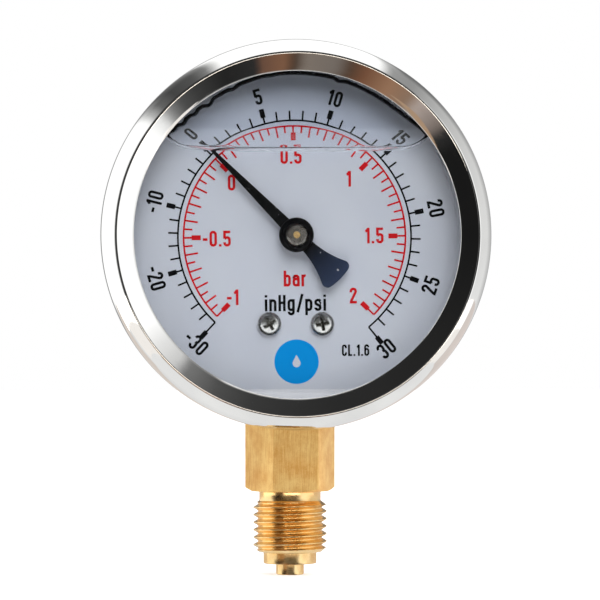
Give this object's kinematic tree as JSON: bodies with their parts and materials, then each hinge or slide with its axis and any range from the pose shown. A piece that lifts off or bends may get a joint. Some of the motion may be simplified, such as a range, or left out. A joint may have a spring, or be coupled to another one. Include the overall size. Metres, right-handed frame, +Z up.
{
  "type": "pressure gauge",
  "caption": "Round liquid-filled dial gauge with a crimped bright ring, flat window and bottom threaded connection; a curved tube drives the pointer through a toothed sector.",
  "frame": {"origin": "on the axis of the pressure connection, where the thread's full diameter starts at its free end", "axes": "+Z up along the connection's axis from the thread towards the dial's centre, the dial faces -Y, +X to the right as the dial is read"},
  "size_m": [0.0684, 0.0339, 0.0947],
  "materials": {
    "case_steel": "satin",
    "ring_steel": "polished",
    "window": "clear",
    "black_rubber": "matte",
    "plug_rubber": "matte",
    "connection_brass": "turned",
    "movement_brass": "satin",
    "shaft_brass": "turned",
    "screw_steel": "bright",
    "dial_white": "matte white",
    "tube_bronze": "satin",
    "hub_nickel": "nickel plated",
    "pointer_black": "matte black"
  },
  "bodies": {
    "housing": {"case": "case_steel", "bezel_ring": "ring_steel", "window": "window", "window_gasket": "black_rubber", "fill_plug": "plug_rubber", "socket": "connection_brass", "socket_seal": "black_rubber", "restrictor": "movement_brass", "case_screws": "screw_steel", "case_screw_washers": "black_rubber", "dial": "dial_white", "dial_screws": "screw_steel", "dial_pillars": "movement_brass", "bourdon_tube": "tube_bronze", "movement_back_plate": "movement_brass", "movement_front_plate": "movement_brass", "movement_pillars": "movement_brass", "movement_screws": "screw_steel", "hairspring": "tube_bronze", "hairspring_stud": "movement_brass"},
    "pointer_shaft": {"spindle": "shaft_brass", "hairspring_collet": "movement_brass", "pointer_hub": "hub_nickel", "pointer_hub_ring": "pointer_black", "pointer": "pointer_black"},
    "sector": {"sector_gear": "movement_brass", "sector_arbor": "shaft_brass", "link_screw": "screw_steel"},
    "tube_end": {"tube_tip": "connection_brass", "tip_pin": "screw_steel"},
    "link": {"link": "movement_brass"}
  },
  "joints": [
    {"name": "pointer_spin", "type": "hinge", "parent": "housing", "child": "pointer_shaft", "pos_m": [0, 0, 0.0558], "axis": [0, 1, 0], "range_deg": [-92, 187], "stiffness_Nm_per_rad": 0.005, "deforming": ["hairspring"]},
    {"name": "sector_swing", "type": "hinge", "parent": "housing", "child": "sector", "pos_m": [0.00891, 0, 0.04689], "axis": [0, 1, 0], "range_deg": [-23.6, 11.7]},
    {"name": "tip_flex", "type": "hinge", "parent": "housing", "child": "tube_end", "pos_m": [-0.00348, 0, 0.06106], "axis": [0, 1, 0], "range_deg": [-5.3, 2.65], "deforming": ["bourdon_tube"]},
    {"name": "link_pivot", "type": "hinge", "parent": "tube_end", "child": "link", "pos_m": [0.0163, 0, 0.0508], "axis": [0, 1, 0], "range_deg": [-2.65, 5.3]}
  ],
  "couplings": [
    {"joint": "sector_swing", "follows": "pointer_spin", "ratio": -0.125},
    {"joint": "tip_flex", "follows": "pointer_spin", "ratio": -0.028},
    {"joint": "link_pivot", "follows": "pointer_spin", "ratio": 0.028}
  ]
}
